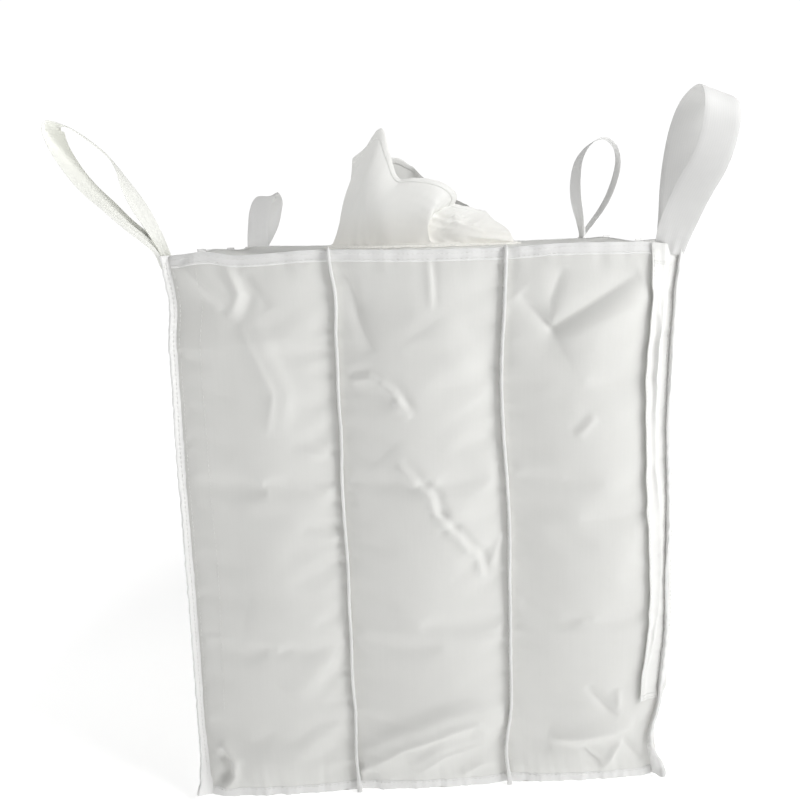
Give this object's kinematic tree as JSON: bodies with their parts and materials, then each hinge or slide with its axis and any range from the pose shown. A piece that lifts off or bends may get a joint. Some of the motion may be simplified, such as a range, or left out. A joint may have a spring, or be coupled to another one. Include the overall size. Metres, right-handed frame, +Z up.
{
  "type": "bulk bag",
  "caption": "Square baffle bulk bag of woven fabric with pinched rib seams, inner corner baffles, webbing lifting loops and a slumped filling spout.",
  "frame": {"origin": "centre of the base, on the face it stands on", "axes": "+Z up towards the filling spout, -Y towards the front wall"},
  "size_m": [1.2965, 1.301, 1.3851],
  "materials": {
    "body_fabric": "satin",
    "seam_fabric": "satin",
    "baffle_fabric": "satin",
    "webbing": "matte",
    "spout_fabric": "satin"
  },
  "bodies": {
    "bag": {"front_panel": "body_fabric", "right_panel": "body_fabric", "back_panel": "body_fabric", "left_panel": "body_fabric", "bottom_hem_front": "body_fabric", "top_hem_front": "body_fabric", "bottom_hem_right": "body_fabric", "top_hem_right": "body_fabric", "bottom_hem_back": "body_fabric", "top_hem_back": "body_fabric", "bottom_hem_left": "body_fabric", "top_hem_left": "body_fabric", "bottom_panel": "body_fabric", "top_panel": "body_fabric", "rib_seam_front_left": "seam_fabric", "rib_seam_front_right": "seam_fabric", "rib_seam_right_left": "seam_fabric", "rib_seam_right_right": "seam_fabric", "rib_seam_back_left": "seam_fabric", "rib_seam_back_right": "seam_fabric", "rib_seam_left_left": "seam_fabric", "rib_seam_left_right": "seam_fabric", "corner_seam_front_left": "seam_fabric", "corner_seam_front_right": "seam_fabric", "corner_seam_back_left": "seam_fabric", "corner_seam_back_right": "seam_fabric", "baffle_front_left_lower": "baffle_fabric", "baffle_front_left_upper": "baffle_fabric", "baffle_front_right_lower": "baffle_fabric", "baffle_front_right_upper": "baffle_fabric", "baffle_back_left_lower": "baffle_fabric", "baffle_back_left_upper": "baffle_fabric", "baffle_back_right_lower": "baffle_fabric", "baffle_back_right_upper": "baffle_fabric", "web_leg_front_left_front": "webbing", "web_leg_front_right_front": "webbing", "web_leg_front_right_right": "webbing", "web_leg_back_right_right": "webbing", "web_leg_back_right_back": "webbing", "web_leg_back_left_back": "webbing", "web_leg_back_left_left": "webbing", "web_leg_front_left_left": "webbing", "spout_collar": "spout_fabric", "spout_sleeve": "spout_fabric"},
    "loop_front_left": {"lifting_loop_front_left": "webbing"},
    "loop_front_right": {"lifting_loop_front_right": "webbing"},
    "loop_back_left": {"lifting_loop_back_left": "webbing"},
    "loop_back_right": {"lifting_loop_back_right": "webbing"},
    "spout_mouth": {"spout_mouth_hem": "spout_fabric"}
  },
  "joints": [
    {"name": "loop_front_left_swing", "type": "hinge", "parent": "bag", "child": "loop_front_left", "pos_m": [-0.487, -0.461, 1.112], "axis": [0, -1, 0], "range_deg": [-115, 103]},
    {"name": "loop_front_right_swing", "type": "hinge", "parent": "bag", "child": "loop_front_right", "pos_m": [0.461, -0.487, 1.112], "axis": [1, 0, 0], "range_deg": [-75, 143]},
    {"name": "loop_back_left_swing", "type": "hinge", "parent": "bag", "child": "loop_back_left", "pos_m": [-0.461, 0.487, 1.112], "axis": [-1, 0, 0], "range_deg": [-131, 87]},
    {"name": "loop_back_right_swing", "type": "hinge", "parent": "bag", "child": "loop_back_right", "pos_m": [0.487, 0.461, 1.112], "axis": [0, 1, 0], "range_deg": [-83, 135]},
    {"name": "spout_fold", "type": "hinge", "parent": "bag", "child": "spout_mouth", "pos_m": [0.213, 0, 1.188], "axis": [0, -1, 0], "range_deg": [0, 24], "deforming": ["spout_sleeve"]}
  ]
}
